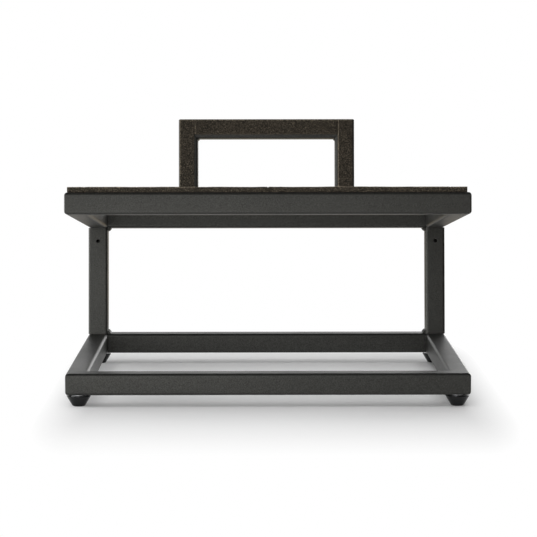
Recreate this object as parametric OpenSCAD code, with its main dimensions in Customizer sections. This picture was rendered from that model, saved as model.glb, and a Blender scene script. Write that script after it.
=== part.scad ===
// Speaker stand of welded square steel tube, with a platform that drops towards the rear.
// Millimetres. +Z is up, the front faces -Y, and the origin is on the floor under the
// middle of the stand's overall box.

/* [Frame] */
// Overall width of the base and of the platform
stand_w = 370; // [250:1:600]
// Depth of the base, front face to rear face
base_d = 292; // [200:1:450]
// Depth of the platform, measured along its slope
platform_d = 300; // [200:1:450]
// Slope of the platform, which is also the lean of the uprights
tilt_deg = 7.3; // [0:0.1:15]
// Clear height from the base up to the platform's lowest edge
clear_h = 107; // [40:1:400]

/* [Tube] */
// Outer size of the square tube
tube = 20; // [15:1:40]
// Outside corner radius of the tube
tube_r = 2; // [1:0.25:4]
// Wall of the tube
wall = 1.5; // [0.8:0.1:3]
// Diameter of the vent hole in each upright
vent_d = 3.2; // [2:0.1:6]
// Distance of the vent hole below the platform
vent_drop = 14; // [8:0.5:60]

/* [Back support] */
// Outer width of the back support
support_w = 182.5; // [100:0.5:300]
// Height of the back support above the platform's rear rail
support_h = 93; // [40:0.5:250]

/* [Welds] */
// Leg of the weld beads at the uprights and the support's feet
weld_leg = 3.2; // [1:0.1:6]
// Leg of the smaller beads in the support's upper corners
corner_leg = 2; // [1:0.1:4]

/* [Felt] */
// Width of the felt strips
felt_w = 15; // [8:0.5:30]
// Thickness of the felt strips
felt_t = 5; // [2:0.5:8]
// Distance of the back support's felt from the support's outer edges
felt_edge = 1; // [0:0.1:4]
// Joint between the ends of two strips
felt_gap = 0.6; // [0.2:0.1:3]

/* [Feet] */
// Height of a foot below the rails when it is screwed fully in
foot_h = 11; // [6:0.5:30]
// Diameter of a foot at its shoulder
foot_top_d = 22; // [16:0.2:40]
// Diameter of a foot at the floor
foot_floor_d = 12.8; // [8:0.2:30]
// Rounding of a foot's edges
foot_round = 0.9; // [0.3:0.1:2]
// Distance of a foot's axis from the side of the base
foot_side = 11.5; // [8:0.5:30]
// Distance of a foot's axis from the front or rear of the base
foot_end = 11.5; // [8:0.5:30]
// Gap between a foot's shoulder and the insert above it
foot_gap = 0.4; // [0.3:0.1:2]
// Thread diameter of the studs
stud_d = 8; // [5:1:12]
// Depth of a stud in its foot
stud_seat = 6; // [3:0.5:12]
// Length of a stud above its foot
stud_reach = 17; // [10:0.5:30]
// Chamfer at the top of a stud
stud_chamfer = 1; // [0.4:0.1:2]
// Running clearance between a stud and its insert, on the radius
thread_clear = 0.05; // [0.02:0.01:0.1]

/* [Threaded inserts] */
// Outer diameter of an insert's barrel
insert_d = 11; // [8:0.5:16]
// Length of an insert above the underside of the rail
insert_l = 14; // [8:0.5:18]
// Diameter of an insert's flange
flange_d = 14; // [10:0.5:20]
// Thickness of an insert's flange
flange_t = 0.8; // [0.5:0.1:2]
// Diameter of the collar that is upset inside the rail
collar_d = 13.5; // [10:0.5:17]
// Height of that collar
collar_h = 3; // [1:0.5:6]

/* [Hidden] */

$fn = 48;

// Overrun of every cutting body past the face that it cuts
overrun = 1;

// Heights of the base and the length of the leaning parts
base_top = foot_h + tube;
seat_z = base_top + clear_h;
lean_shift = clear_h * tan(tilt_deg);
upright_l = clear_h / cos(tilt_deg) + tube * tan(tilt_deg);

// The lower rear edge of the platform, placed so that the overall box is centred on the origin.
// Its reaches go forward to the platform's lower front edge or to the base's front face, and
// back to the support's upper rear edge.
platform_reach = (platform_d - tube_r) * cos(tilt_deg) - tube_r * sin(tilt_deg) + tube_r;
front_reach = max(platform_reach, base_d + lean_shift);
rear_reach = (tube + support_h - tube_r) * sin(tilt_deg) - tube_r * cos(tilt_deg) + tube_r;
seat_y = (front_reach - rear_reach) / 2;
base_rear_y = seat_y - lean_shift;
base_front_y = base_rear_y - base_d;

// Inset of the platform's felt, which lies in the middle of the tube's face
felt_inset = (tube - felt_w) / 2;

// Height of the foot's solid, below the flange of its insert
cone_h = foot_h - flange_t - foot_gap;

// Sides of a rectangular frame, as turns from the front
front_deg = 0;
right_deg = 90;
rear_deg = 180;
left_deg = 270;

// Colours
coat = [0.17, 0.175, 0.17];
felt = [0.16, 0.14, 0.12];
plastic = [0.07, 0.08, 0.085];
zinc = [0.62, 0.63, 0.64];

// Square with rounded corners, centred
module rounded_square(size, radius) {
  flat = size - 2 * radius;
  square([size, flat], center = true);
  square([flat, size], center = true);
  for (x = [-1, 1], y = [-1, 1])
    translate([x, y] * flat / 2) circle(radius);
}

// Section of the tube, centred
module tube_section() {
  difference() {
    rounded_square(tube, tube_r);
    rounded_square(tube - 2 * wall, tube_r - wall);
  }
}

// Upright length of tube on the origin, with its section centred
module tube_length(length) {
  linear_extrude(length) tube_section();
}

// Tube along +X, with its outer face on Y = 0 and its underside on Z = 0. Its length is that
// of the outer face. start and finish are 1 where that end is mitred and 0 where it is square.
module cut_tube(length, start, finish) {
  inner = tube + overrun;
  intersection() {
    translate([-overrun, tube / 2, tube / 2]) rotate([0, 90, 0]) tube_length(length + 2 * overrun);
    translate([0, 0, -overrun]) linear_extrude(tube + 2 * overrun) polygon([
      [-start * overrun, -overrun],
      [length + finish * overrun, -overrun],
      [length - finish * inner, inner],
      [start * inner, inner]
    ]);
  }
}

// One rail of a rectangular mitred frame that has its front face on Y = 0
module frame_rail(side_deg, width, depth) {
  across = side_deg % 180 == 0;
  length = across ? width : depth;
  reach = across ? depth : width;
  translate([0, depth / 2, 0]) rotate(side_deg) translate([-length / 2, -reach / 2, 0])
    cut_tube(length, 1, 1);
}

// Places its children in the platform's space: X across, Y = 0 on the rear face, Z = 0 on
// the underside, with Y running down the slope
module on_platform() {
  translate([0, seat_y, seat_z]) rotate([-tilt_deg, 0, 0]) children();
}

// Children on the left, then mirrored on the right where side is 1
module on_side(side) {
  mirror([side > 0 ? 1 : 0, 0, 0]) children();
}

// Convex weld bead in the corner between +X and +Y, running along +Z
module bead(leg, length) {
  set_back = leg / 2;
  linear_extrude(length) intersection() {
    square(leg);
    translate([-set_back, -set_back]) circle(norm([leg + set_back, set_back]));
  }
}

// Bead across a tube's flat, from Y = 0 back towards -Y, in the corner between +X and +Z
module bead_across(leg) {
  translate([0, -tube_r, 0]) rotate([90, 0, 0]) bead(leg, tube - 2 * tube_r);
}

// Rail of the base, with the holes for its inserts
module base_rail(side_deg) {
  color(coat) difference() {
    translate([0, base_front_y, foot_h]) frame_rail(side_deg, stand_w, base_d);
    for (x = [-1, 1], y = [-1, 1])
      at_foot(x, y) translate([0, 0, foot_h - overrun])
        cylinder(d = insert_d, h = wall + 2 * overrun);
  }
}

// Rail of the platform
module platform_rail(side_deg) {
  color(coat) on_platform() translate([0, -platform_d, 0])
    frame_rail(side_deg, stand_w, platform_d);
}

// Upright on a rear corner, square to the platform and cut level at the base
module upright(side) {
  color(coat) on_side(side) difference() {
    on_platform() translate([(tube - stand_w) / 2, -tube / 2, 0]) difference() {
      translate([0, 0, -upright_l - overrun]) tube_length(upright_l + overrun);
      translate([0, -tube / 2 - overrun, -vent_drop]) rotate([-90, 0, 0])
        cylinder(d = vent_d, h = wall + 2 * overrun);
    }
    translate([-stand_w / 2 - overrun, base_rear_y - 2 * tube, 0])
      cube([tube + 2 * overrun, 3 * tube, base_top]);
  }
}

// Post of the back support
module support_post(side) {
  color(coat) on_side(side) on_platform() translate([-support_w / 2, -tube, tube])
    rotate([0, -90, -90]) cut_tube(support_h, 0, 1);
}

// Top bar of the back support
module support_bar() {
  color(coat) on_platform() translate([-support_w / 2, -tube, tube + support_h])
    rotate([-90, 0, 0]) cut_tube(support_w, 1, 1);
}

// Beads between the uprights and the base's rear rail
module base_upright_welds() {
  color(coat) for (side = [-1, 1])
    on_side(side) translate([tube - stand_w / 2, base_rear_y, base_top]) bead_across(weld_leg);
}

// Beads between the uprights and the platform's rear rail
module platform_upright_welds() {
  color(coat) for (side = [-1, 1])
    on_side(side) on_platform() translate([tube - stand_w / 2, 0, 0])
      mirror([0, 0, 1]) bead_across(weld_leg);
}

// Beads in the upper corners of the back support
module back_support_corner_welds() {
  color(coat) for (side = [-1, 1])
    on_side(side) on_platform() translate([tube - support_w / 2, 0, support_h])
      mirror([0, 0, 1]) bead_across(corner_leg);
}

// Beads on both sides of each post where it stands on the platform's rear rail
module back_support_foot_welds() {
  color(coat) for (side = [-1, 1]) on_side(side) on_platform() {
    translate([tube - support_w / 2, 0, tube]) bead_across(weld_leg);
    translate([-support_w / 2, 0, tube]) mirror([1, 0, 0]) bead_across(weld_leg);
  }
}

// Felt strip along one side of the platform
module platform_side_pad(side) {
  color(felt) on_side(side) on_platform()
    translate([felt_inset - stand_w / 2, felt_inset - platform_d, tube])
      cube([felt_w, platform_d - 2 * felt_inset, felt_t]);
}

// Half of the felt strip along the front of the platform, up to the joint in the middle
module platform_front_pad(side) {
  start = stand_w / 2 - felt_inset - felt_w - felt_gap;
  color(felt) on_side(side) on_platform()
    translate([-start, felt_inset - platform_d, tube])
      cube([start - felt_gap / 2, felt_w, felt_t]);
}

// Felt strip on the front of one post of the back support
module support_side_pad(side) {
  color(felt) on_side(side) on_platform()
    translate([felt_edge - support_w / 2, -tube - felt_t, tube + felt_inset])
      cube([felt_w, felt_t, support_h - felt_inset - felt_edge]);
}

// Felt strip on the front of the top bar, between the two upright strips
module support_top_pad() {
  half = support_w / 2 - felt_edge - felt_w - felt_gap;
  color(felt) on_platform()
    translate([-half, -tube - felt_t, tube + support_h - felt_edge - felt_w])
      cube([2 * half, felt_t, felt_w]);
}

// Places its children on the floor at a foot's axis: x is -1 for the left and 1 for the right,
// y is -1 for the front and 1 for the rear
module at_foot(x, y) {
  middle_y = (base_front_y + base_rear_y) / 2;
  translate([x * (stand_w / 2 - foot_side), middle_y + y * (base_d / 2 - foot_end), 0])
    children();
}

// Threaded inserts, each with its flange under the rail and a collar upset inside it
module foot_inserts() {
  color(zinc) for (x = [-1, 1], y = [-1, 1]) at_foot(x, y)
    translate([0, 0, foot_h]) difference() {
      union() {
        translate([0, 0, -flange_t]) cylinder(d = flange_d, h = flange_t);
        cylinder(d = insert_d, h = insert_l);
        translate([0, 0, wall]) cylinder(d = collar_d, h = collar_h);
      }
      translate([0, 0, -flange_t - overrun])
        cylinder(r = stud_d / 2 + thread_clear, h = flange_t + insert_l + 2 * overrun);
    }
}

// Half section of a foot, with its slanted side tangent to two equal roundings
module foot_section() {
  low = [foot_floor_d / 2 - foot_round, foot_round];
  high = [foot_top_d / 2 - foot_round, cone_h - foot_round];
  slope = (high - low) / norm(high - low);
  outward = foot_round * [slope.y, -slope.x];
  polygon([[0, 0], [low.x, 0], low + outward, high + outward, [high.x, cone_h], [0, cone_h]]);
  translate(low) circle(foot_round);
  translate(high) circle(foot_round);
}

// Conical foot with the socket that holds its stud
module foot(x, y) {
  color(plastic) at_foot(x, y) difference() {
    rotate_extrude() foot_section();
    translate([0, 0, cone_h - stud_seat]) cylinder(d = stud_d, h = stud_seat + overrun);
  }
}

// Threaded stud of a foot
module stud(x, y) {
  shank = stud_seat + stud_reach - stud_chamfer;
  color(zinc) at_foot(x, y) translate([0, 0, cone_h - stud_seat]) {
    cylinder(d = stud_d, h = shank);
    translate([0, 0, shank])
      cylinder(d1 = stud_d, d2 = stud_d - 2 * stud_chamfer, h = stud_chamfer);
  }
}

base_rail(front_deg);  // base_front_rail
base_rail(right_deg);  // base_right_rail
base_rail(rear_deg);  // base_rear_rail
base_rail(left_deg);  // base_left_rail
upright(-1);  // left_upright
upright(1);  // right_upright
platform_rail(front_deg);  // platform_front_rail
platform_rail(right_deg);  // platform_right_rail
platform_rail(rear_deg);  // platform_rear_rail
platform_rail(left_deg);  // platform_left_rail
support_post(-1);  // back_support_left_post
support_post(1);  // back_support_right_post
support_bar();  // back_support_top_bar
base_upright_welds();
platform_upright_welds();
back_support_corner_welds();
back_support_foot_welds();
platform_side_pad(-1);  // platform_left_pad
platform_side_pad(1);  // platform_right_pad
platform_front_pad(-1);  // platform_front_left_pad
platform_front_pad(1);  // platform_front_right_pad
support_side_pad(-1);  // back_support_left_pad
support_side_pad(1);  // back_support_right_pad
support_top_pad();  // back_support_top_pad
foot_inserts();
foot(-1, -1);  // front_left_foot
foot(1, -1);  // front_right_foot
foot(-1, 1);  // rear_left_foot
foot(1, 1);  // rear_right_foot
stud(-1, -1);  // front_left_stud
stud(1, -1);  // front_right_stud
stud(-1, 1);  // rear_left_stud
stud(1, 1);  // rear_right_stud
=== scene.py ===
"""Finishes the welded square-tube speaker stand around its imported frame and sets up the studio."""

import math

import bmesh
import bpy
from bpy.props import FloatProperty, FloatVectorProperty, PointerProperty
from mathutils import Matrix, Vector


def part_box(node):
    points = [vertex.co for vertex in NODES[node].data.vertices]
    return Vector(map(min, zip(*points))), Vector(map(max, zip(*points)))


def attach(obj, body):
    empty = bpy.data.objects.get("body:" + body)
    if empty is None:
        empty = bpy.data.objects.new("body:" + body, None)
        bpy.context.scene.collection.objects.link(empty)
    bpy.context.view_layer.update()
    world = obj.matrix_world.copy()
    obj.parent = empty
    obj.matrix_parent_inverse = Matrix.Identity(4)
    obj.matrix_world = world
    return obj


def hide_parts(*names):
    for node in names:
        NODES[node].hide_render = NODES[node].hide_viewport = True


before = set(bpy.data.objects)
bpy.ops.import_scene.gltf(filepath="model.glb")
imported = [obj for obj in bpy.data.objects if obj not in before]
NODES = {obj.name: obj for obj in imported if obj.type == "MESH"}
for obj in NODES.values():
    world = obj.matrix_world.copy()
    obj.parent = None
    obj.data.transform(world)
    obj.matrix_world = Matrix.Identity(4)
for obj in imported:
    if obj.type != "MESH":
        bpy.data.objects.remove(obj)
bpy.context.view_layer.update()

bl_info = {
    "name": "Speaker stand",
    "version": (1, 0, 0),
    "blender": (4, 5, 0),
    "location": "View3D > Sidebar > Stand",
    "description": "Coats the tubes, lays the felt, threads the feet and sets up the studio",
    "category": "Object",
}

MM = 0.001
BASE_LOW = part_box("base_front_rail")[0]
BASE_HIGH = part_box("base_rear_rail")[1]
FOOT_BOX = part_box("front_left_foot")
STUD_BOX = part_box("front_left_stud")
PLATFORM_FRONT = sum(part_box("platform_front_rail"), Vector()) / 2
PLATFORM_REAR = sum(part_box("platform_rear_rail"), Vector()) / 2
SUPPORT_TOP = sum(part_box("back_support_top_bar"), Vector()) / 2
SLOPE = math.atan2(PLATFORM_FRONT.z - PLATFORM_REAR.z, PLATFORM_REAR.y - PLATFORM_FRONT.y)
TUBE = BASE_HIGH.z - BASE_LOW.z
SIDES = {"front": (0, -1), "right": (1, 0), "rear": (0, 1), "left": (-1, 0)}
PADS = [
    "platform_left_pad", "platform_right_pad",
    "platform_front_left_pad", "platform_front_right_pad",
    "back_support_left_pad", "back_support_right_pad", "back_support_top_pad",
]
# How far the low and the high end in X of some strips lie off their pad
OFF_LINE = {
    "platform_front_left_pad": (0.0, 0.28 * MM),
    "platform_front_right_pad": (-0.28 * MM, -1.2 * MM),
    "platform_right_pad": (-1.2 * MM, -1.2 * MM),
    "back_support_right_pad": (-1.2 * MM, -1.2 * MM),
    "back_support_top_pad": (0.0, -1.2 * MM),
}
# The end in X at which two strips meet
SEAMS = {"platform_front_left_pad": 1, "platform_front_right_pad": -1}
FEET = ["front_left", "front_right", "rear_left", "rear_right"]
# Number of faces across a tube's rounded edge
ROUNDING = 5
# How far a piece's reach may differ from that of its CAD nodes
FIT = 1.5 * MM


# Sizes and colours that a user would change


class StandSizes(bpy.types.PropertyGroup):
    """Sizes of the stand's pieces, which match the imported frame"""

    slope: FloatProperty(
        name="Slope", description="Slope of the platform and lean of the uprights",
        default=SLOPE, subtype="ANGLE")
    tube: FloatProperty(
        name="Tube", description="Outer size of the square tube", min=0.001,
        default=TUBE, unit="LENGTH")
    tube_round: FloatProperty(
        name="Tube rounding", description="Corner radius of the tube", min=0.0001,
        default=2.8 * MM, unit="LENGTH")
    corner_share: FloatProperty(
        name="Corner rounding", description="Share of that radius at the ground mitre corners",
        min=0.0, max=1.0, default=0.55, subtype="FACTOR")
    platform_depth: FloatProperty(
        name="Platform depth", description="Depth of the platform along its slope",
        min=0.01, default=(PLATFORM_FRONT - PLATFORM_REAR).length + TUBE, unit="LENGTH")
    support_width: FloatProperty(
        name="Back support width", description="Outer width of the back support",
        min=0.01, default=2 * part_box("back_support_top_bar")[1].x, unit="LENGTH")
    support_height: FloatProperty(
        name="Back support height", description="Height of the back support above its rail",
        min=0.01, default=(SUPPORT_TOP - PLATFORM_REAR).length, unit="LENGTH")
    vent: FloatProperty(
        name="Vent hole", description="Diameter of the hole in each upright",
        min=0.0001, default=3.8 * MM, unit="LENGTH")
    vent_drop: FloatProperty(
        name="Vent drop", description="Distance of that hole below the platform",
        min=0.001, default=14.0 * MM, unit="LENGTH")
    weld: FloatProperty(
        name="Weld leg", description="Leg of the beads at the uprights and the posts",
        min=0.0001, default=3.2 * MM, unit="LENGTH")
    corner_weld: FloatProperty(
        name="Corner weld leg", description="Leg of the beads in the back support's window",
        min=0.0001, default=1.5 * MM, unit="LENGTH")
    ripple: FloatProperty(
        name="Ripple", description="Distance between two ripples of a bead",
        min=0.0001, default=2.6 * MM, unit="LENGTH")
    thread_pitch: FloatProperty(
        name="Thread pitch", description="Pitch of the studs' thread", min=0.0001,
        default=1.25 * MM, unit="LENGTH", precision=5)


class StandFinish(bpy.types.PropertyGroup):
    """Colours and textures of the stand's materials"""

    coat_colour: FloatVectorProperty(
        name="Coat colour", description="Colour of the powder coat", subtype="COLOR",
        size=3, min=0.0, max=1.0, default=(0.0135, 0.0135, 0.0128))
    coat_tint: FloatVectorProperty(
        name="Coat tint", description="Tint of what the powder coat mirrors", subtype="COLOR",
        size=3, min=0.0, max=1.0, default=(1.0, 1.0, 0.93))
    coat_roughness: FloatProperty(
        name="Coat roughness", description="Roughness of the powder coat",
        min=0.0, max=1.0, default=0.42, subtype="FACTOR")
    grain: FloatProperty(
        name="Grain", description="Size of the powder coat's fine texture",
        min=0.0001, default=0.0009, unit="LENGTH", precision=5)
    felt_colour: FloatVectorProperty(
        name="Felt colour", description="Main colour of the felt", subtype="COLOR",
        size=3, min=0.0, max=1.0, default=(0.0185, 0.016, 0.0125))
    fleck_colour: FloatVectorProperty(
        name="Fleck colour", description="Colour of the light fibres in the felt",
        subtype="COLOR", size=3, min=0.0, max=1.0, default=(0.12, 0.1, 0.074))
    fleck: FloatProperty(
        name="Fleck", description="Size of the felt's flecks", min=0.0001,
        default=0.0006, unit="LENGTH", precision=5)
    # Painted highlight: the felt's upper edges, and the left ones on the back support, are made this
    # many times lighter where light from the upper left catches them
    edge_highlight: FloatProperty(
        name="Edge highlight", description="How many times lighter the felt's worn edges are",
        min=0.1, default=3.0)
    foot_colour: FloatVectorProperty(
        name="Foot colour", description="Colour of the moulded feet", subtype="COLOR",
        size=3, min=0.0, max=1.0, default=(0.0036, 0.0043, 0.0044))
    zinc_colour: FloatVectorProperty(
        name="Zinc colour", description="Colour of the plated studs and inserts",
        subtype="COLOR", size=3, min=0.0, max=1.0, default=(0.60, 0.61, 0.62))


class StandStudio(bpy.types.PropertyGroup):
    """Camera and lights"""

    camera_distance: FloatProperty(
        name="Distance", description="From the base's front face to the camera",
        min=0.1, default=1.9108, unit="LENGTH")
    camera_height: FloatProperty(
        name="Height", description="Height of the camera above the floor",
        default=0.32516, unit="LENGTH")
    camera_dip: FloatProperty(
        name="Dip", description="How far the camera looks down",
        default=math.radians(5.911), subtype="ANGLE")
    camera_lens: FloatProperty(
        name="Lens", description="Focal length in millimetres", min=1.0, default=142.25)
    camera_side: FloatProperty(
        name="Sideways", description="Camera's place across the stand",
        default=-0.00977, unit="LENGTH")
    camera_turn: FloatProperty(
        name="Turn", description="How far the camera looks to the right",
        default=math.radians(0.304), subtype="ANGLE")
    camera_roll: FloatProperty(
        name="Roll", description="How far the camera is tilted clockwise",
        default=math.radians(0.048), subtype="ANGLE")
    backdrop: FloatProperty(
        name="Backdrop light", description="Brightness of the white walls before and behind",
        min=0.0, default=1.0)


# Materials


def add_node(tree, kind, spot=(0, 0), **values):
    """A node of that kind, with its properties and its inputs' defaults set."""
    node = tree.nodes.new(kind)
    node.location = spot
    for name, value in values.items():
        if hasattr(node, name):
            setattr(node, name, value)
        else:
            node.inputs[name.replace("_", " ")].default_value = value
    return node


def calculate(tree, operation, spot, *values):
    """The result of a Math node, whose inputs are numbers or other nodes' outputs."""
    node = add_node(tree, "ShaderNodeMath", spot, operation=operation)
    for socket, value in zip(node.inputs, values):
        if isinstance(value, bpy.types.NodeSocket):
            tree.links.new(value, socket)
        else:
            socket.default_value = value
    return node.outputs[0]


def new_group(name, inputs, outputs):
    """An empty shader node group with those sockets, as (tree, input node, output node)."""
    tree = bpy.data.node_groups.new(name, "ShaderNodeTree")
    for label, kind, value in inputs:
        socket = tree.interface.new_socket(label, in_out="INPUT", socket_type=kind)
        socket.default_value = value
    for label, kind in outputs:
        tree.interface.new_socket(label, in_out="OUTPUT", socket_type=kind)
    source = add_node(tree, "NodeGroupInput", (-900, 0))
    result = add_node(tree, "NodeGroupOutput", (700, 0))
    return tree, source, result


def mottle_group():
    """Soft and fine variation on Object coordinates: a slow value, a fine value and a height."""
    tree, source, result = new_group(
        "Mottle",
        [("Fine size", "NodeSocketFloat", 0.001), ("Slow size", "NodeSocketFloat", 0.03)],
        [("Fine", "NodeSocketFloat"), ("Slow", "NodeSocketFloat"), ("Height", "NodeSocketFloat")])
    where = add_node(tree, "ShaderNodeTexCoord", (-900, 300))
    links = tree.links
    for label, octaves, y in (("Fine", 3.0, 200), ("Slow", 2.0, -200)):
        scale = calculate(tree, "DIVIDE", (-650, y), 1.0, source.outputs[f"{label} size"])
        spots = add_node(tree, "ShaderNodeTexNoise", (-400, y), Detail=octaves)
        links.new(where.outputs["Object"], spots.inputs["Vector"])
        links.new(scale, spots.inputs["Scale"])
        links.new(spots.outputs["Fac"], result.inputs[label])
        if label == "Fine":
            links.new(spots.outputs["Fac"], result.inputs["Height"])
    return tree


def new_material(name):
    """A new node material's tree and its Principled BSDF."""
    material = bpy.data.materials.new(name)
    material.use_nodes = True
    return material.node_tree, material.node_tree.nodes["Principled BSDF"]


def place_group(tree, group, spot, **values):
    """A shader group in a material, with its inputs set."""
    return add_node(tree, "ShaderNodeGroup", spot, node_tree=group, **values)


def spread(tree, value, low, high, spot):
    """Maps a noise value, which mostly lies in 0.3..0.7, to low..high."""
    node = add_node(
        tree, "ShaderNodeMapRange", spot, From_Min=0.3, From_Max=0.7, To_Min=low, To_Max=high)
    tree.links.new(value, node.inputs["Value"])
    return node.outputs["Result"]


def colour_socket(sockets, name):
    """The colour socket of a mix node that has this name."""
    return next(item for item in sockets if item.name == name and item.type == "RGBA")


def tint(tree, factor, first, second, spot):
    """Mixes two colours by a factor."""
    node = add_node(tree, "ShaderNodeMix", spot, data_type="RGBA")
    colour_socket(node.inputs, "A").default_value = (*first, 1.0)
    colour_socket(node.inputs, "B").default_value = (*second, 1.0)
    tree.links.new(factor, node.inputs["Factor"])
    return colour_socket(node.outputs, "Result")


def bump(tree, shader, height, depth, spot):
    """Feeds a height, with a depth in metres, to the shader's normal."""
    node = add_node(tree, "ShaderNodeBump", spot, Strength=1.0, Distance=depth)
    tree.links.new(height, node.inputs["Height"])
    tree.links.new(node.outputs["Normal"], shader.inputs["Normal"])


def shade(colour, factor):
    """A darker or lighter colour."""
    return [min(1.0, channel * factor) for channel in colour]


def mottled(name, colour, mottle, sizes, tones, gloss, depth):
    """A material whose tone, as factors of its colour, and roughness each vary with one of the
    mottle's outputs, and whose bumps have a depth in metres."""
    tree, shader = new_material(name)
    marks = place_group(tree, mottle, (-900, 0), Fine_size=sizes[0], Slow_size=sizes[1])
    output, dark, light = tones
    tone = tint(
        tree, spread(tree, marks.outputs[output], 0.0, 1.0, (-650, 200)),
        shade(colour, dark), shade(colour, light), (-400, 200))
    tree.links.new(tone, shader.inputs["Base Color"])
    output, low, high = gloss
    rough = spread(tree, marks.outputs[output], low, high, (-400, 0))
    tree.links.new(rough, shader.inputs["Roughness"])
    bump(tree, shader, marks.outputs["Height"], depth, (-200, -250))
    return tree, shader, marks


def powder_coat(finish, mottle):
    """Satin powder coat with a fine texture, a little uneven in tone."""
    rough = finish.coat_roughness
    tree, shader, marks = mottled(
        "Powder coat", finish.coat_colour, mottle, (finish.grain, 0.06), ("Fine", 0.72, 1.35),
        ("Slow", rough - 0.03, rough + 0.03), 0.08 * MM)
    shader.inputs["Specular Tint"].default_value = (*finish.coat_tint, 1.0)
    shine = spread(tree, marks.outputs["Fine"], 0.4, 0.7, (-400, -150))
    tree.links.new(shine, shader.inputs["Specular IOR Level"])


def felt(finish, mottle, name="Felt", lighter=1.0):
    """Dark felt with light flecks and a soft pile."""
    tree, shader = new_material(name)
    marks = place_group(tree, mottle, (-900, 0), Fine_size=0.7 * MM, Slow_size=12.0 * MM)
    where = add_node(tree, "ShaderNodeTexCoord", (-1300, 400))
    fibres = add_node(tree, "ShaderNodeTexVoronoi", (-1100, 400), Scale=1.0 / finish.fleck)
    chance = add_node(tree, "ShaderNodeSeparateColor", (-900, 400))
    tree.links.new(where.outputs["Object"], fibres.inputs["Vector"])
    tree.links.new(fibres.outputs["Color"], chance.inputs[0])
    colour = tint(
        tree, calculate(tree, "POWER", (-650, 300), chance.outputs[0], 3.0),
        shade(finish.felt_colour, lighter), shade(finish.fleck_colour, lighter), (-400, 200))
    tree.links.new(colour, shader.inputs["Base Color"])
    for socket, value in (
            ("Roughness", 0.95), ("Specular IOR Level", 0.15), ("Sheen Weight", 0.5),
            ("Sheen Roughness", 0.4), ("Sheen Tint", (0.55, 0.45, 0.33, 1.0))):
        shader.inputs[socket].default_value = value
    bump(tree, shader, marks.outputs["Height"], 0.4 * MM, (-200, -250))


def felt_highlight(finish, mottle):
    """The felt at its edges that catch light from the upper left, made lighter as a painted
    highlight.
    """
    felt(finish, mottle, "Felt highlight", finish.edge_highlight)


def foot_plastic(finish, mottle):
    """Glossy moulded black plastic."""
    shader = mottled(
        "Foot plastic", finish.foot_colour, mottle, (1.2 * MM, 8.0 * MM), ("Slow", 0.85, 1.25),
        ("Slow", 0.18, 0.26), 0.01 * MM)[1]
    shader.inputs["Specular IOR Level"].default_value = 0.35


def zinc_plate(finish, mottle):
    """Bright zinc plating on steel."""
    shader = mottled(
        "Zinc plate", finish.zinc_colour, mottle, (0.6 * MM, 6.0 * MM), ("Slow", 0.88, 1.05),
        ("Fine", 0.24, 0.38), 0.01 * MM)[1]
    shader.inputs["Metallic"].default_value = 1.0


def material_named(name):
    """A finish, made the first time that it is asked for."""
    if name not in bpy.data.materials:
        finish = bpy.context.scene.stand_finish
        mottle = bpy.data.node_groups.get("Mottle") or mottle_group()
        makers = {
            "Powder coat": powder_coat, "Felt": felt, "Felt highlight": felt_highlight,
            "Foot plastic": foot_plastic, "Zinc plate": zinc_plate,
        }
        makers[name](finish, mottle)
    return bpy.data.materials[name]


def coat(node, name):
    """Gives a CAD node its finish."""
    obj = NODES[node]
    obj.data.materials.clear()
    obj.data.materials.append(material_named(name))


# Modelling


def focus(obj):
    """Makes an object the only selected one, and the active one."""
    bpy.ops.object.select_all(action="DESELECT")
    obj.select_set(True)
    bpy.context.view_layer.objects.active = obj


def edit(obj):
    """Opens an object in edit mode."""
    focus(obj)
    bpy.ops.object.mode_set(mode="EDIT")


def done():
    """Leaves edit mode."""
    bpy.ops.object.mode_set(mode="OBJECT")


def started(name):
    """Names the primitive that was just added and opens it, selected all over."""
    obj = bpy.context.object
    obj.name = obj.data.name = name
    bpy.ops.object.mode_set(mode="EDIT")
    return obj


def block(name, low, high):
    """A box between two corners, open in edit mode, with its object at the origin."""
    bpy.ops.object.select_all(action="DESELECT")
    bpy.ops.mesh.primitive_cube_add(size=1.0)
    obj = started(name)
    low, high = Vector(low), Vector(high)
    bpy.ops.transform.resize(value=high - low)
    bpy.ops.transform.translate(value=(low + high) / 2)
    return obj


def round_bar(name, radius, length, sides):
    """An upright cylinder on the origin, open in edit mode."""
    bpy.ops.object.select_all(action="DESELECT")
    bpy.ops.mesh.primitive_cylinder_add(vertices=sides, radius=radius, depth=length)
    obj = started(name)
    bpy.ops.transform.translate(value=(0, 0, length / 2))
    return obj


def pick(obj, kind, test):
    """In edit mode, selects only the vertices, edges or faces that pass a test."""
    bpy.ops.mesh.select_mode(type=kind)
    bpy.ops.mesh.select_all(action="DESELECT")
    mesh = bmesh.from_edit_mesh(obj.data)
    items = {"VERT": mesh.verts, "EDGE": mesh.edges, "FACE": mesh.faces}[kind]
    for item in items:
        if test(item):
            item.select_set(True)
    mesh.select_flush_mode()
    bmesh.update_edit_mesh(obj.data)


def runs_along(axis):
    """A test for edges that run along an axis, given as 0, 1 or 2."""
    def test(edge):
        way = (edge.verts[1].co - edge.verts[0].co).normalized()
        return abs(way[axis]) > 0.999
    return test


def cut(point, normal, fill=True):
    """Cuts away what lies behind a plane, and closes the cut."""
    bpy.ops.mesh.select_mode(type="VERT")
    bpy.ops.mesh.select_all(action="SELECT")
    bpy.ops.mesh.bisect(plane_co=point, plane_no=normal, use_fill=fill, clear_inner=True)


def copied(obj, name):
    """A copy with its own mesh."""
    focus(obj)
    bpy.ops.object.duplicate()
    twin = bpy.context.object
    twin.name = twin.data.name = name
    return twin


def place(obj, matrix):
    """Moves a piece by a matrix, which goes into its mesh."""
    focus(obj)
    obj.matrix_world = matrix
    bpy.ops.object.transform_apply(location=True, rotation=True, scale=True)


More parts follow.
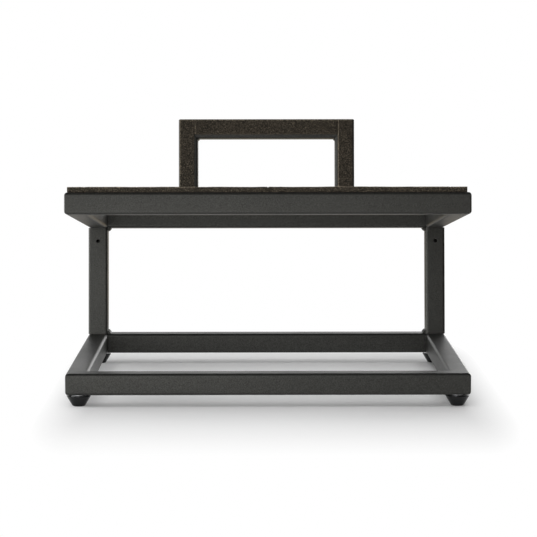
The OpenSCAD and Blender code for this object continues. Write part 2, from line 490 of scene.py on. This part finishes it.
def apply_modifier(obj, kind, **values):
    """Adds a modifier with those values and applies it."""
    focus(obj)
    modifier = obj.modifiers.new(kind.title(), kind)
    for name, value in values.items():
        setattr(modifier, name, value)
    bpy.ops.object.modifier_apply(modifier=modifier.name)


def drill(obj, cutter):
    """Takes a closed body out of another."""
    apply_modifier(obj, "BOOLEAN", object=cutter, operation="DIFFERENCE", solver="EXACT")


def discard(obj):
    """Removes a helper object."""
    focus(obj)
    bpy.ops.object.delete()


def smooth(obj, degrees):
    """Shades smooth up to that angle, and keeps the large faces flat."""
    focus(obj)
    bpy.ops.object.shade_smooth_by_angle(angle=math.radians(degrees))
    apply_modifier(obj, "WEIGHTED_NORMAL", keep_sharp=True, weight=80)


def outward(obj):
    """Merges doubles and turns every face outwards."""
    edit(obj)
    bpy.ops.mesh.select_all(action="SELECT")
    bpy.ops.mesh.remove_doubles(threshold=0.000001)
    bpy.ops.mesh.normals_make_consistent(inside=False)
    done()


def finished(obj, material, slot, body, *nodes):
    """Gives a piece its finish and its body, in place of its CAD nodes, and checks its place."""
    if not obj.data.materials:
        obj.data.materials.append(material_named(material))
    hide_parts(*nodes)
    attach(obj, body)
    boxes = [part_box(node) for node in nodes]
    for axis in range(3):
        low = min(box[0][axis] for box in boxes)
        high = max(box[1][axis] for box in boxes)
        reach = [vertex.co[axis] for vertex in obj.data.vertices]
        if max(abs(min(reach) - low), abs(max(reach) - high)) > FIT:
            raise RuntimeError(
                f"{obj.name} spans {min(reach):.5f} to {max(reach):.5f} on axis {axis}, and its "
                f"CAD nodes {low:.5f} to {high:.5f}")


def coated(obj, degrees, node):
    """Smooths a part of the frame up to that angle and gives it its powder coat."""
    smooth(obj, degrees)
    finished(obj, "Powder coat", "powder_coat", "frame", node)


def on_platform(sizes):
    """Matrix of the platform's space: Y = 0 on its rear face, Z = 0 on its underside."""
    turned = Matrix.Rotation(-sizes.slope, 4, "X")
    middle = Matrix.Translation((0, sizes.tube / 2, -sizes.tube / 2))
    return Matrix.Translation(PLATFORM_REAR) @ turned @ middle


def below(node):
    """Matrix that moves the origin to the floor below a CAD node's middle."""
    low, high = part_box(node)
    return Matrix.Translation(((low.x + high.x) / 2, (low.y + high.y) / 2, 0))


def sloped_box(node, sizes):
    """Lowest corner and size, in the platform's space, of a CAD node that is a box there."""
    low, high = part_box(node)
    span = high - low
    c, s = math.cos(sizes.slope), math.sin(sizes.slope)
    size = Vector((
        span.x, (span.y * c - span.z * s) / (c * c - s * s),
        (span.z * c - span.y * s) / (c * c - s * s)))
    return on_platform(sizes).inverted() @ ((low + high) / 2) - size / 2, size


def frame_ring(name, width, depth, sizes):
    """A rectangular ring of tube round the origin, with rounded edges, on Z = 0."""
    ring = block(name, (-width / 2, -depth / 2, 0), (width / 2, depth / 2, sizes.tube))
    pick(ring, "FACE", lambda face: abs(face.normal.z) > 0.9)
    bpy.ops.mesh.inset(thickness=sizes.tube)
    bpy.ops.mesh.bridge_edge_loops()
    pick(ring, "EDGE", lambda edge: runs_along(0)(edge) or runs_along(1)(edge))
    bpy.ops.transform.edge_bevelweight(value=1.0)
    pick(ring, "EDGE", lambda edge: runs_along(2)(edge)
         and abs(edge.verts[0].co.x) > width / 2 - MM)
    bpy.ops.transform.edge_bevelweight(value=sizes.corner_share)
    done()
    apply_modifier(
        ring, "BEVEL", width=sizes.tube_round, segments=ROUNDING, limit_method="WEIGHT",
        use_clamp_overlap=False)
    return ring


def frame_side(ring, name, side, width, depth):
    """One side of a ring, cut out along its two mitres and left open in edit mode."""
    tube = copied(ring, name)
    edit(tube)
    out = Vector((*SIDES[side], 0))
    along = Vector((-out.y, out.x, 0))
    for way in (1, -1):
        corner = (out + way * along) / 2
        cut((corner.x * width, corner.y * depth, 0), out - way * along)
    return tube


# Tube wall, radius of the bores in the base, and how much wider the chamber above each is
WALL = 1.5 * MM
BORE = 5.5 * MM
CHAMBER = 1.4


def bores(sizes):
    """The four bores in the base, each a hole in the wall and a chamber inside the tube."""
    bore = round_bar("bore", BORE, WALL + MM, 32)
    bpy.ops.transform.translate(value=(0, 0, BASE_LOW.z - MM))
    pick(bore, "FACE", lambda face: face.normal.z > 0.9)
    bpy.ops.mesh.extrude_region_move(TRANSFORM_OT_translate={"value": (0, 0, 0)})
    bpy.ops.transform.resize(value=(CHAMBER, CHAMBER, 1.0))
    inside = sizes.tube - 2 * WALL
    bpy.ops.mesh.extrude_region_move(TRANSFORM_OT_translate={"value": (0, 0, inside)})
    done()
    copies = []
    for corner in FEET:
        copies.append(copied(bore, f"bore_{corner}"))
        place(copies[-1], below(f"{corner}_foot"))
    discard(bore)
    cutter = joined(copies, "bores")
    outward(cutter)
    return cutter


# Height of a bead's ripples and unevenness of its face, as shares of its leg
RIPPLE_HEIGHT = 0.09
UNEVEN = 0.02
# Depth at the second to fourth of a ripple's four steps, as a share of that height
RIPPLE_STEPS = (1, 0.6), (2, 1.0), (3, 0.6)


def bead(name, leg, length, ripple):
    """A rippled bead along +Z in the corner between +X and +Y."""
    def clear(vertex, share):
        return min(vertex.co.x, vertex.co.y) > share * leg

    weld = round_bar(name, math.hypot(1.5 * leg, 0.5 * leg), length, 96)
    bpy.ops.transform.translate(value=(-leg / 2, -leg / 2, 0))
    cut((0, 0, 0), (1, 0, 0))
    cut((0, 0, 0), (0, 1, 0))
    count = max(2, round(length / ripple))
    pick(weld, "EDGE", runs_along(2))
    bpy.ops.mesh.subdivide(number_cuts=4 * count - 1)
    step = length / (4 * count)
    for turn, height in RIPPLE_STEPS:
        pick(weld, "VERT", lambda vertex: clear(vertex, 0.02)
             and round(vertex.co.z / step) % 4 == turn)
        bpy.ops.transform.shrink_fatten(value=-RIPPLE_HEIGHT * leg * height)
    pick(weld, "VERT", lambda vertex: clear(vertex, 0.05))
    bpy.ops.transform.vertex_random(offset=UNEVEN * leg, seed=count)
    done()
    return weld


def joined(parts, name):
    """Joins parts into one piece."""
    focus(parts[0])
    for part in parts[1:]:
        part.select_set(True)
    bpy.ops.object.join()
    whole = bpy.context.object
    whole.name = whole.data.name = name
    return whole


# Operators


class STAND_OT_base(bpy.types.Operator):
    """Model the base's four mitred tubes, with the bores for the feet"""

    bl_idname = "stand.base"
    bl_label = "Base"

    def execute(self, context):
        sizes = context.scene.stand_sizes
        width = BASE_HIGH.x - BASE_LOW.x
        depth = BASE_HIGH.y - BASE_LOW.y
        ring = frame_ring("base_ring", width, depth, sizes)
        cutter = bores(sizes)
        for side in SIDES:
            tube = frame_side(ring, f"base_{side}_tube", side, width, depth)
            done()
            place(tube, Matrix.Translation((0, (BASE_LOW.y + BASE_HIGH.y) / 2, BASE_LOW.z)))
            drill(tube, cutter)
            coated(tube, 40, f"base_{side}_rail")
        discard(ring)
        discard(cutter)
        return {"FINISHED"}


class STAND_OT_platform(bpy.types.Operator):
    """Model the platform's four mitred tubes"""

    bl_idname = "stand.platform"
    bl_label = "Platform"

    def execute(self, context):
        sizes = context.scene.stand_sizes
        width = BASE_HIGH.x - BASE_LOW.x
        depth = sizes.platform_depth
        ring = frame_ring("platform_ring", width, depth, sizes)
        middle = on_platform(sizes) @ Matrix.Translation((0, -depth / 2, 0))
        for side in SIDES:
            tube = frame_side(ring, f"platform_{side}_tube", side, width, depth)
            done()
            place(tube, middle)
            coated(tube, 40, f"platform_{side}_rail")
        discard(ring)
        return {"FINISHED"}


class STAND_OT_uprights(bpy.types.Operator):
    """Model the two uprights, cut level at the base and drilled for air"""

    bl_idname = "stand.uprights"
    bl_label = "Uprights"

    def execute(self, context):
        sizes = context.scene.stand_sizes
        for side, way in (("left", -1), ("right", 1)):
            outer = way * BASE_HIGH.x
            edges = sorted((outer, outer - way * sizes.tube))
            tall = PLATFORM_REAR.z - BASE_HIGH.z
            length = tall / math.cos(sizes.slope) + 2 * sizes.tube * math.tan(sizes.slope)
            tube = block(
                f"{side}_upright_tube", (edges[0], -sizes.tube, -length), (edges[1], 0, 0))
            pick(tube, "EDGE", runs_along(2))
            bpy.ops.mesh.bevel(offset=sizes.tube_round, segments=ROUNDING, affect="EDGES")
            done()
            place(tube, on_platform(sizes))
            edit(tube)
            cut((0, 0, BASE_HIGH.z), (0, 0, 1))
            done()
            vent = round_bar("vent", sizes.vent / 2, sizes.tube, 40)
            done()
            place(vent, on_platform(sizes) @ Matrix.Translation(
                (sum(edges) / 2, -sizes.tube - 2 * MM, -sizes.vent_drop))
                @ Matrix.Rotation(math.radians(-90), 4, "X"))
            drill(tube, vent)
            discard(vent)
            coated(tube, 40, f"{side}_upright")
        return {"FINISHED"}


class STAND_OT_back_support(bpy.types.Operator):
    """Model the back support's two posts and its top bar"""

    bl_idname = "stand.back_support"
    bl_label = "Back support"

    def execute(self, context):
        sizes = context.scene.stand_sizes
        width = sizes.support_width
        depth = sizes.support_height + 2 * sizes.tube
        ring = frame_ring("support_ring", width, depth, sizes)
        stood = on_platform(sizes) @ Matrix.Translation(
            (0, 0, sizes.tube + sizes.support_height - depth / 2)) @ Matrix.Rotation(
            math.radians(90), 4, "X")
        foot = depth / 2 - sizes.support_height
        for side, node in (
                ("left", "back_support_left_post"), ("right", "back_support_right_post"),
                ("rear", "back_support_top_bar")):
            tube = frame_side(ring, f"{node}_tube", side, width, depth)
            if side != "rear":
                cut((0, foot, 0), (0, 1, 0))
            done()
            place(tube, stood)
            coated(tube, 40, node)
        discard(ring)
        return {"FINISHED"}


class STAND_OT_welds(bpy.types.Operator):
    """Lay the rippled weld beads"""

    bl_idname = "stand.welds"
    bl_label = "Welds"

    def execute(self, context):
        sizes = context.scene.stand_sizes
        seat = on_platform(sizes)
        width = BASE_HIGH.x
        inner = sizes.support_width / 2
        level = Matrix.Translation((0, BASE_HIGH.y, BASE_HIGH.z))
        flip = Matrix.Scale(-1, 4, (0, 0, 1))
        outside = Matrix.Scale(-1, 4, (1, 0, 0))
        at = Matrix.Translation
        groups = {
            "base_upright_welds": (sizes.weld, [level @ at((sizes.tube - width, 0, 0))]),
            "platform_upright_welds": (
                sizes.weld, [seat @ at((sizes.tube - width, 0, 0)) @ flip]),
            "back_support_corner_welds": (
                sizes.corner_weld,
                [seat @ at((sizes.tube - inner, 0, sizes.support_height)) @ flip]),
            "back_support_foot_welds": (
                sizes.weld, [seat @ at((sizes.tube - inner, 0, sizes.tube)),
                             seat @ at((-inner, 0, sizes.tube)) @ outside]),
        }
        length = sizes.tube - 2 * sizes.tube_round
        across = at((0, -sizes.tube_round, 0)) @ Matrix.Rotation(math.radians(90), 4, "X")
        for node, (leg, spots) in groups.items():
            pattern = bead("bead", leg, length, sizes.ripple)
            parts = []
            for spot in spots:
                for mirror in (Matrix.Identity(4), outside):
                    part = copied(pattern, "bead_part")
                    place(part, mirror @ spot @ across)
                    parts.append(part)
            discard(pattern)
            weld = joined(parts, f"{node}_bead")
            outward(weld)
            coated(weld, 60, node)
        return {"FINISHED"}


# Rounding of the felt's edges that get a painted highlight, of its other edges and at the seam
HIGHLIT_ROUND = 0.9 * MM
SHARP = 0.5 * MM
SEAM = 1.1 * MM
# Length of the longest edge that belongs to a rounding, and size of the felt's mesh
SHORT = 2.5 * MM
MESH = 1.3 * MM
# Size and height of the felt's waves and of its pile
WAVES = 28.0 * MM, 0.7 * MM
PILE = 1.6 * MM, 0.3 * MM
# Distance up to which a vertex counts as lying on a face, and least angle of a strip's edges
NEAR = 0.1 * MM
EDGE_ANGLE = 1.2


def ruffle(obj, name, pattern, direction):
    """Displaces a piece by clouds of a size and height."""
    size, height = pattern
    clouds = bpy.data.textures.get(name) or bpy.data.textures.new(name, "CLOUDS")
    clouds.noise_scale = size
    apply_modifier(
        obj, "DISPLACE", texture=clouds, texture_coords="LOCAL", strength=height,
        mid_level=0.5, direction=direction)


def highlit(node, low, high):
    """A test for the edges that face the upper-left light and get a painted highlight: the upper
    ones, and the back support's left ones.
    """
    def test(edge):
        ends = [vertex.co for vertex in edge.verts]
        upper = all(end.z > high.z - NEAR for end in ends)
        left = node.startswith("back_support") and all(end.x < low.x + NEAR for end in ends)
        return edge.calc_length() > SHORT and (
            upper and runs_along(0)(edge) or left and runs_along(2)(edge))
    return test


class STAND_OT_felt(bpy.types.Operator):
    """Cut and lay the felt strips"""

    bl_idname = "stand.felt"
    bl_label = "Felt"

    def execute(self, context):
        sizes = context.scene.stand_sizes
        for node in PADS:
            low, size = sloped_box(node, sizes)
            high = low + size
            near, far = OFF_LINE.get(node, (0.0, 0.0))
            low.x += near
            high.x += far
            size = high - low
            strip = block(node.replace("_pad", "_felt"), low, high)
            if node in SEAMS:
                end = low.x if SEAMS[node] < 0 else high.x
                pick(strip, "EDGE", lambda edge: all(
                    abs(v.co.x - end) < NEAR and v.co.z > high.z - NEAR for v in edge.verts))
                bpy.ops.mesh.bevel(offset=SEAM, segments=2, affect="EDGES")
            for name in ("Felt", "Felt highlight"):
                strip.data.materials.append(material_named(name))
            # The upper edges, and the left ones on the back support, get the lighter felt as a
            # painted highlight where the light from the upper left catches them
            pick(strip, "EDGE", highlit(node, low, high))
            bpy.ops.mesh.bevel(offset=HIGHLIT_ROUND, segments=3, affect="EDGES", material=1)
            pick(strip, "EDGE", lambda edge: edge.calc_length() > SHORT
                 and edge.calc_face_angle(0.0) > EDGE_ANGLE)
            bpy.ops.mesh.bevel(offset=SHARP, segments=2, affect="EDGES")
            for axis in range(3):
                pick(strip, "EDGE", lambda edge: runs_along(axis)(edge)
                     and edge.calc_length() > SHORT)
                bpy.ops.mesh.subdivide(number_cuts=max(1, round(size[axis] / MESH) - 1))
            done()
            ruffle(strip, "Felt waves", WAVES, "Z" if size.z < size.y else "Y")
            ruffle(strip, "Felt pile", PILE, "NORMAL")
            place(strip, on_platform(sizes))
            smooth(strip, 80)
            finished(strip, "Felt", "felt", "frame", node)
        return {"FINISHED"}


# A foot's radius at the floor, how far its top stands out and its rounding
TIP = 5.6 * MM
FLARE = 0.45 * MM
ROUND = 0.9 * MM
# Rim and depth of the recess in a foot's sole, radius and depth of the stud's seat in its top,
# and width of their sloping walls
SOLE_RIM = 1.2 * MM
SOLE_DEPTH = 0.4 * MM
SEAT = 6.2 * MM
SEAT_DEPTH = 0.5 * MM
SLANT = 0.4 * MM
# Depth of a stud's thread, height of the ridge that forms it and the share of the pitch that it
# covers, end left plain and chamfer
THREAD = 0.65 * MM
RIDGE = 0.9 * MM
RIDGE_SHARE = 0.98
PLAIN = 2.5 * MM
CHAMFER = 0.5 * MM


class STAND_OT_feet(bpy.types.Operator):
    """Mould the feet, thread their studs and plate the inserts"""

    bl_idname = "stand.feet"
    bl_label = "Feet"

    def execute(self, context):
        sizes = context.scene.stand_sizes
        foot = self.cone()
        stud = self.stud(sizes)
        for corner in FEET:
            for pattern, kind, material, slot in (
                    (foot, "foot", "Foot plastic", "foot_plastic"),
                    (stud, "stud", "Zinc plate", "zinc_steel")):
                piece = copied(pattern, f"{corner}_{kind}_turned")
                place(piece, below(f"{corner}_foot"))
                smooth(piece, 35)
                finished(piece, material, slot, f"{corner}_foot_unit", f"{corner}_{kind}")
        discard(foot)
        discard(stud)
        coat("foot_inserts", "Zinc plate")
        return {"FINISHED"}

    def cone(self):
        """A conical foot with rounded edges, a recess below and a seat for the stud above."""
        low, high = FOOT_BOX
        top = (high.x - low.x) / 2
        tall = high.z - low.z
        bpy.ops.object.select_all(action="DESELECT")
        bpy.ops.mesh.primitive_cone_add(
            vertices=96, radius1=TIP, radius2=top + FLARE, depth=tall)
        foot = started("foot")
        bpy.ops.transform.translate(value=(0, 0, tall / 2))
        pick(foot, "EDGE", lambda edge: abs(edge.verts[0].co.z - edge.verts[1].co.z) < NEAR)
        bpy.ops.mesh.bevel(offset=ROUND, segments=6, affect="EDGES")
        pick(foot, "FACE", lambda face: face.normal.z < -0.9999)
        bpy.ops.mesh.inset(thickness=SOLE_RIM)
        bpy.ops.mesh.inset(thickness=SLANT, depth=-SOLE_DEPTH)
        pick(foot, "FACE", lambda face: face.normal.z > 0.9999)
        bpy.ops.mesh.inset(thickness=top - SEAT)
        bpy.ops.mesh.inset(thickness=SLANT, depth=-SEAT_DEPTH)
        done()
        return foot

    def stud(self, sizes):
        """A stud whose thread is a ridge wound round its core."""
        low, high = STUD_BOX
        radius = (high.x - low.x) / 2
        pitch = sizes.thread_pitch
        core = round_bar("stud", radius - THREAD, high.z - low.z, 64)
        bpy.ops.transform.translate(value=(0, 0, low.z))
        pick(core, "EDGE", lambda edge: min(v.co.z for v in edge.verts) > high.z - NEAR)
        bpy.ops.mesh.bevel(offset=CHAMFER, segments=3, affect="EDGES")
        done()
        bpy.ops.object.select_all(action="DESELECT")
        bpy.ops.mesh.primitive_circle_add(vertices=3, radius=0.5)
        ridge = started("ridge")
        bpy.ops.mesh.select_all(action="SELECT")
        bpy.ops.transform.resize(
            value=(RIDGE_SHARE * pitch, RIDGE, 1.0), center_override=(0, 0, 0))
        done()
        place(ridge, Matrix.Translation((radius - RIDGE / 2, 0, low.z + pitch))
              @ Matrix.Rotation(math.radians(90), 4, "Y")
              @ Matrix.Rotation(math.radians(90), 4, "X"))
        apply_modifier(
            ridge, "SCREW", angle=math.radians(360), screw_offset=pitch,
            iterations=int((high.z - low.z - PLAIN) / pitch), steps=40, render_steps=40,
            use_merge_vertices=False)
        stud = joined([core, ridge], "stud")
        outward(stud)
        return stud


# Corners of the floor, which ends near the stand at the right and the back, where it would be
# mirrored too brightly
FLOOR = Vector((-3.0, -4.0, 0.0)), Vector((0.38, 0.42, 0.0))

# Middle and half size of the place round the base where the floor shows its shadow, and the
# distance over which it turns white for the camera outside it
SHADE_MIDDLE = Vector((0.006, -0.04, 0.0))
SHADE_REACH = Vector((0.17, 0.17, 0.0))
FADE = Vector((0.043, 0.18, 1.0))

# Brightness of the walls in front and behind at some heights, given as the sine of the angle
# above the horizon, and their colour below it
FRONT_WALL = [(0.08, 0.1), (0.16, 0.3), (0.32, 0.3), (0.45, 0.1), (0.7, 0.02)]
BACK_WALL = [(0.02, 1.2), (0.2, 1.2), (0.35, 0.4), (0.7, 0.02)]
BELOW = (0.3, 0.25, 0.17)
# How much brighter the wall behind is at its left and right, given as the sine of the angle
BACK_SIDES = (-0.3, 0.7), (0.3, 2.0)
# Sines of the angles to the front or back from which a wall fades in and is whole
WALL_EDGES = 0.45, 0.75

# Place, width, height and brightness of each softbox, and whether glossy surfaces mirror it
SOFTBOXES = {
    "Overhead": ((0.0, 0.0, 2.2), 2.4, 2.4, 0.8, False),
    "Overhead front": ((0.0, -1.3, 2.1), 2.8, 2.4, 0.9, False),
    "Overhead back": ((0.0, 2.1, 1.9), 3.0, 1.6, 1.3, False),
    "Front": ((-0.03, -0.75, 0.26), 0.6, 0.16, 1.6, True),
    "Left low": ((-0.2, -0.6, 0.05), 0.45, 0.06, 4.0, True),
    "Left front": ((-0.75, -1.45, 0.4), 0.7, 0.75, 1.9, True),
    "Right back": ((0.9, 1.7, 0.3), 0.7, 0.5, 3.0, True),
    "Left strip": ((-2.0, 0.0, 0.3), 2.4, 0.5, 6.0, True),
}


def soft_light(name, spot, width, height, bright, mirrored):
    """A rectangular softbox that faces the stand and is that bright, where white is 1."""
    data = bpy.data.lights.new(name, "AREA")
    data.shape = "RECTANGLE"
    data.size = width
    data.size_y = height
    data.energy = bright * width * height * math.pi
    lamp = bpy.data.objects.new(name, data)
    bpy.context.scene.collection.objects.link(lamp)
    lamp.location = spot
    aim = Vector((0, 0, 0.1)) - Vector(spot)
    lamp.rotation_euler = aim.to_track_quat("-Z", "Y").to_euler()
    lamp.visible_glossy = mirrored


class STAND_OT_stage(bpy.types.Operator):
    """Set up the floor, the light and the camera"""

    bl_idname = "stand.stage"
    bl_label = "Stage"

    def execute(self, context):
        studio = context.scene.stand_studio
        self.floor()
        self.world(studio)
        for name, (spot, width, height, bright, mirrored) in SOFTBOXES.items():
            soft_light(name, spot, width, height, bright, mirrored)
        self.camera(context, studio)
        return {"FINISHED"}

    def floor(self):
        """A floor that shows the stand's shadow, and turns white for the camera further off."""
        bpy.ops.object.select_all(action="DESELECT")
        bpy.ops.mesh.primitive_plane_add(size=1.0, location=(0, 0, 0))
        floor = bpy.context.object
        floor.name = "Floor"
        low, high = FLOOR
        place(floor, Matrix.Translation((low + high) / 2) @ Matrix.Diagonal((high - low).to_4d()))
        tree, shader = new_material("White floor")
        shader.inputs["Base Color"].default_value = (0.95, 0.95, 0.95, 1.0)
        shader.inputs["Roughness"].default_value = 0.9
        shader.inputs["Specular IOR Level"].default_value = 0.0
        glow = add_node(tree, "ShaderNodeEmission", (0, -250), Strength=1.0)
        where = add_node(tree, "ShaderNodeTexCoord", (-900, -400))
        chain = [where.outputs["Object"]]
        for operation, value in (
                ("SUBTRACT", SHADE_MIDDLE), ("ABSOLUTE", None), ("SUBTRACT", SHADE_REACH),
                ("MAXIMUM", (0, 0, 0)), ("DIVIDE", FADE), ("LENGTH", None)):
            step = add_node(
                tree, "ShaderNodeVectorMath", (-700 + 150 * len(chain), -400),
                operation=operation)
            tree.links.new(chain[-1], step.inputs[0])
            if value:
                step.inputs[1].default_value = value
            chain.append(step.outputs["Value" if operation == "LENGTH" else "Vector"])
        rays = add_node(tree, "ShaderNodeLightPath", (-700, -600))
        fade = calculate(tree, "MINIMUM", (200, -400), chain[-1], 1.0)
        seen = calculate(tree, "MULTIPLY", (400, -400), fade, rays.outputs["Is Camera Ray"])
        blend = add_node(tree, "ShaderNodeMixShader", (250, 0))
        links = tree.links
        links.new(seen, blend.inputs["Fac"])
        links.new(shader.outputs[0], blend.inputs[1])
        links.new(glow.outputs[0], blend.inputs[2])
        links.new(blend.outputs[0], tree.nodes["Material Output"].inputs["Surface"])
        floor.data.materials.append(bpy.data.materials["White floor"])

    def wall(self, tree, height, levels, spot):
        """A wall's colour at a height, from below the horizon up through its levels."""
        ramp = add_node(tree, "ShaderNodeValToRGB", spot)
        stops = ramp.color_ramp.elements
        stops.remove(stops[1])
        stops[0].color = (*BELOW, 1.0)
        for sine, level in levels:
            stops.new(sine).color = (level, level, level, 1.0)
        tree.links.new(height, ramp.inputs["Fac"])
        return ramp.outputs["Color"]

    def world(self, studio):
        """White for the camera, and for the stand two pale walls between dark sides."""
        world = bpy.data.worlds.new("Studio")
        bpy.context.scene.world = world
        world.use_nodes = True
        tree = world.node_tree
        links = tree.links
        where = add_node(tree, "ShaderNodeTexCoord", (-1100, 0))
        split = add_node(tree, "ShaderNodeSeparateXYZ", (-900, 0))
        links.new(where.outputs["Generated"], split.inputs[0])
        front = self.wall(tree, split.outputs["Z"], FRONT_WALL, (-700, 100))
        back = self.wall(tree, split.outputs["Z"], BACK_WALL, (-700, -150))

        (left, dim), (right, bright) = BACK_SIDES
        sides = add_node(
            tree, "ShaderNodeMapRange", (-700, -400), From_Min=left, From_Max=right,
            To_Min=dim, To_Max=bright)
        links.new(split.outputs["X"], sides.inputs["Value"])
        uneven = add_node(tree, "ShaderNodeVectorMath", (-400, -200), operation="SCALE")
        links.new(back, uneven.inputs[0])
        links.new(sides.outputs["Result"], uneven.inputs["Scale"])

        pair = add_node(tree, "ShaderNodeMix", (-200, 0), data_type="RGBA")
        behind = calculate(tree, "GREATER_THAN", (-700, 300), split.outputs["Y"], 0.0)
        links.new(behind, pair.inputs["Factor"])
        links.new(front, colour_socket(pair.inputs, "A"))
        links.new(uneven.outputs[0], colour_socket(pair.inputs, "B"))

        begin, whole = WALL_EDGES
        edges = add_node(
            tree, "ShaderNodeMapRange", (-400, 400), interpolation_type="SMOOTHSTEP",
            From_Min=begin, From_Max=whole, To_Max=studio.backdrop)
        depth = calculate(tree, "ABSOLUTE", (-700, 500), split.outputs["Y"])
        links.new(depth, edges.inputs["Value"])
        light = add_node(tree, "ShaderNodeVectorMath", (0, 100), operation="MULTIPLY")
        links.new(edges.outputs["Result"], light.inputs[0])
        links.new(colour_socket(pair.outputs, "Result"), light.inputs[1])

        rays = add_node(tree, "ShaderNodeLightPath", (-200, 700))
        seen = calculate(
            tree, "MAXIMUM", (0, 400), rays.outputs["Is Camera Ray"],
            rays.outputs["Is Transmission Ray"])
        shown = add_node(tree, "ShaderNodeMix", (200, 0), data_type="RGBA")
        links.new(seen, shown.inputs["Factor"])
        links.new(light.outputs[0], colour_socket(shown.inputs, "A"))
        colour_socket(shown.inputs, "B").default_value = (1.0, 1.0, 1.0, 1.0)
        sky = tree.nodes["Background"]
        sky.inputs["Strength"].default_value = 1.0
        links.new(colour_socket(shown.outputs, "Result"), sky.inputs["Color"])

    def camera(self, context, studio):
        """A long lens in front of the stand, a little above it."""
        data = bpy.data.cameras.new("Camera")
        data.lens = studio.camera_lens
        data.sensor_width = 36.0
        camera = bpy.data.objects.new("Camera", data)
        context.scene.collection.objects.link(camera)
        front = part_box("base_front_rail")[0].y
        camera.location = (
            studio.camera_side, front - studio.camera_distance, studio.camera_height)
        turned = Matrix.Rotation(-studio.camera_turn, 4, "Z")
        dipped = Matrix.Rotation(math.radians(90) - studio.camera_dip, 4, "X")
        rolled = Matrix.Rotation(-studio.camera_roll, 4, "Z")
        camera.rotation_euler = (turned @ dipped @ rolled).to_euler()
        context.scene.camera = camera


class STAND_PT_sidebar(bpy.types.Panel):
    """The stand's settings and steps"""

    bl_idname = "STAND_PT_sidebar"
    bl_label = "Speaker stand"
    bl_space_type = "VIEW_3D"
    bl_region_type = "UI"
    bl_category = "Stand"

    def draw(self, context):
        scene = context.scene
        for group in (scene.stand_sizes, scene.stand_finish, scene.stand_studio):
            for name in group.__annotations__:
                self.layout.prop(group, name)
        for step in STEPS:
            self.layout.operator(step)


STEPS = [
    "stand.base", "stand.platform", "stand.uprights", "stand.back_support", "stand.welds",
    "stand.felt", "stand.feet", "stand.stage",
]
CLASSES = [
    StandSizes, StandFinish, StandStudio, STAND_OT_base, STAND_OT_platform, STAND_OT_uprights,
    STAND_OT_back_support, STAND_OT_welds, STAND_OT_felt, STAND_OT_feet, STAND_OT_stage,
    STAND_PT_sidebar,
]


def register():
    for item in CLASSES:
        bpy.utils.register_class(item)
    bpy.types.Scene.stand_sizes = PointerProperty(type=StandSizes)
    bpy.types.Scene.stand_finish = PointerProperty(type=StandFinish)
    bpy.types.Scene.stand_studio = PointerProperty(type=StandStudio)


def unregister():
    del bpy.types.Scene.stand_studio
    del bpy.types.Scene.stand_finish
    del bpy.types.Scene.stand_sizes
    for item in reversed(CLASSES):
        bpy.utils.unregister_class(item)


def main():
    """Runs every step in order."""
    register()
    bpy.context.scene.view_settings.view_transform = "Standard"
    bpy.ops.stand.base()
    bpy.ops.stand.platform()
    bpy.ops.stand.uprights()
    bpy.ops.stand.back_support()
    bpy.ops.stand.welds()
    bpy.ops.stand.felt()
    bpy.ops.stand.feet()
    bpy.ops.stand.stage()


if __name__ == "__main__":
    main()
